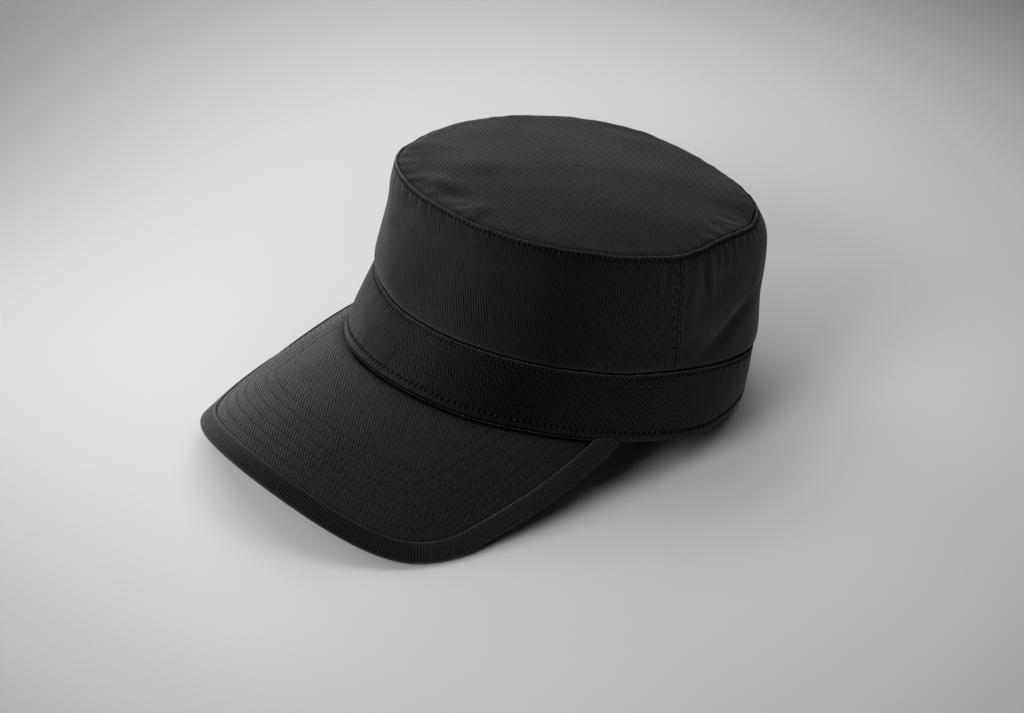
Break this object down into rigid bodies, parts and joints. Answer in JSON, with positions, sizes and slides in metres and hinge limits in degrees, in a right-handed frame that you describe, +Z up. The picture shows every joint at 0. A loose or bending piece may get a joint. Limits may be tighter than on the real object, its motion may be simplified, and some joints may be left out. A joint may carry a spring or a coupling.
{
  "type": "military cap",
  "caption": "Black twill field cap with a flat oval top, upright crown, sewn lower band and a curved, row-stitched peak with a bound edge, lying on its peak.",
  "frame": {"origin": "middle of the cap's bounding box, on the surface it lies on", "axes": "+Z up from that surface, -Y the way the peak points, +X the wearer's left side"},
  "size_m": [0.1846, 0.2722, 0.117],
  "materials": {
    "crown_twill": "brushed cotton twill, matte",
    "band_twill": "cotton twill, matte",
    "peak_twill": "cotton twill over a stiff board, matte, stitched in rows",
    "binding_twill": "bias cut cotton twill strip, matte"
  },
  "bodies": {
    "root": {"crown_top": "crown_twill", "crown_front": "crown_twill", "crown_back": "crown_twill", "band": "band_twill", "peak": "peak_twill", "peak_binding": "binding_twill"}
  },
  "joints": []
}
